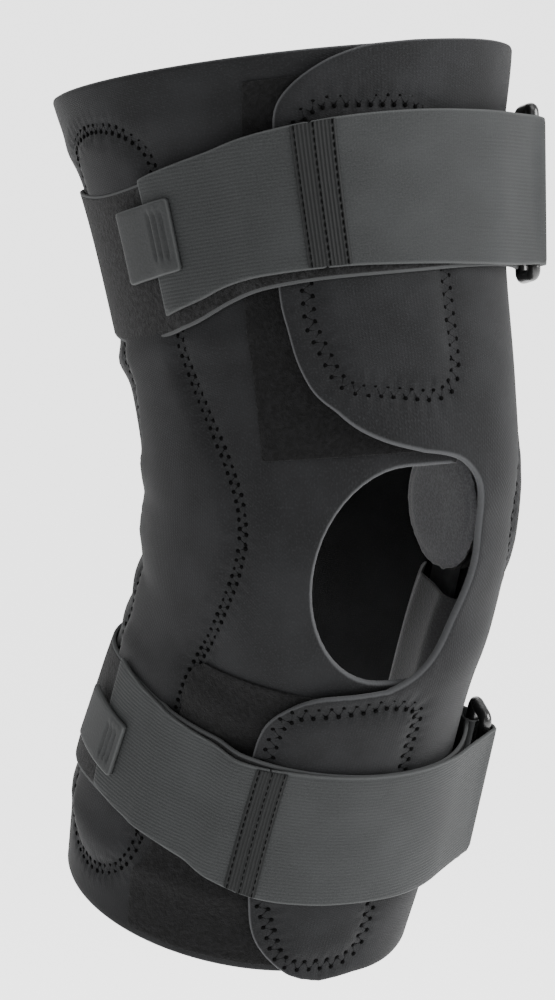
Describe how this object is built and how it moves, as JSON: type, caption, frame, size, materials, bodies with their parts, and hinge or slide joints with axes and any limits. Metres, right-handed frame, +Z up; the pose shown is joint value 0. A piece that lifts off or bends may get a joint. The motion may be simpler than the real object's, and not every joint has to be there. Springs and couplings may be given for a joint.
{
  "type": "hinged knee brace",
  "caption": "Open-patella wraparound neoprene knee brace with geared side hinges, overlapping front flaps and two fold-back straps.",
  "frame": {"origin": "knee centre, midway between the two side hinges and between their upper and lower pivots", "axes": "+Z up the leg, -Y to the front through the kneecap opening, -X to the outer side of a right leg"},
  "size_m": [0.163, 0.1869, 0.3372],
  "materials": {
    "neoprene": "matt knit face over neoprene",
    "loop_pile": "fuzzy loop pile",
    "hook_tape": "small moulded hooks",
    "black_webbing": "plain woven",
    "seam_webbing": "stitched over twice",
    "moulded_tab": "matt with ribs",
    "gray_webbing": "smooth knitted face",
    "ring_plastic": "satin",
    "vinyl": "satin",
    "lining": "smooth knit",
    "pad_cover": "brushed knit over foam",
    "aluminium": "brushed",
    "steel": "satin"
  },
  "bodies": {
    "thigh": {"thigh_sleeve": "neoprene", "thigh_flap": "neoprene", "thigh_loop_patch": "loop_pile", "thigh_hook_patch": "hook_tape", "thigh_strap_base": "loop_pile", "thigh_ring": "ring_plastic", "thigh_ring_keeper": "black_webbing", "lateral_upper_bar": "aluminium", "medial_upper_bar": "aluminium", "lateral_upper_bar_cap": "vinyl", "medial_upper_bar_cap": "vinyl", "lateral_upper_pocket": "lining", "medial_upper_pocket": "lining"},
    "lateral_link": {"knee_sleeve": "neoprene", "lateral_outer_plate": "aluminium", "lateral_inner_plate": "aluminium", "lateral_rivets": "steel", "lateral_stop_post": "steel", "lateral_condyle_pad": "pad_cover"},
    "medial_link": {"medial_outer_plate": "aluminium", "medial_inner_plate": "aluminium", "medial_rivets": "steel", "medial_stop_post": "steel", "medial_condyle_pad": "pad_cover"},
    "calf": {"calf_sleeve": "neoprene", "calf_flap": "neoprene", "calf_loop_patch": "loop_pile", "calf_hook_patch": "hook_tape", "calf_strap_base": "loop_pile", "calf_ring": "ring_plastic", "calf_ring_keeper": "black_webbing", "lateral_lower_bar": "aluminium", "medial_lower_bar": "aluminium", "lateral_lower_bar_cap": "vinyl", "medial_lower_bar_cap": "vinyl", "lateral_lower_pocket": "lining", "medial_lower_pocket": "lining"},
    "thigh_strap": {"thigh_strap_return": "gray_webbing", "thigh_strap_end": "gray_webbing", "thigh_strap_seam": "seam_webbing", "thigh_strap_tab": "moulded_tab"},
    "calf_strap": {"calf_strap_return": "gray_webbing", "calf_strap_end": "gray_webbing", "calf_strap_seam": "seam_webbing", "calf_strap_tab": "moulded_tab"}
  },
  "joints": [
    {"name": "lateral_upper_pivot", "type": "hinge", "parent": "thigh", "child": "lateral_link", "pos_m": [-0.055, -0.00082, 0.01047], "axis": [1, 0, 0], "range_deg": [-17, 32], "deforming": ["knee_sleeve"]},
    {"name": "lateral_lower_pivot", "type": "hinge", "parent": "lateral_link", "child": "calf", "pos_m": [-0.055, 0.00082, -0.01047], "axis": [1, 0, 0], "range_deg": [-17, 32]},
    {"name": "medial_upper_pivot", "type": "hinge", "parent": "thigh", "child": "medial_link", "pos_m": [0.055, -0.00082, 0.01047], "axis": [1, 0, 0], "range_deg": [-17, 32]},
    {"name": "thigh_strap_peel", "type": "hinge", "parent": "thigh", "child": "thigh_strap", "pos_m": [0.06828, -0.02885, 0.11346], "axis": [0.1085, 0.1939, 0.975], "range_deg": [0, 50]},
    {"name": "calf_strap_peel", "type": "hinge", "parent": "calf", "child": "calf_strap", "pos_m": [0.06058, -0.00123, -0.10262], "axis": [-0.0192, -0.3872, 0.9218], "range_deg": [0, 50]}
  ],
  "couplings": [
    {"joint": "lateral_lower_pivot", "follows": "lateral_upper_pivot", "ratio": 1},
    {"joint": "medial_upper_pivot", "follows": "lateral_upper_pivot", "ratio": 1}
  ]
}
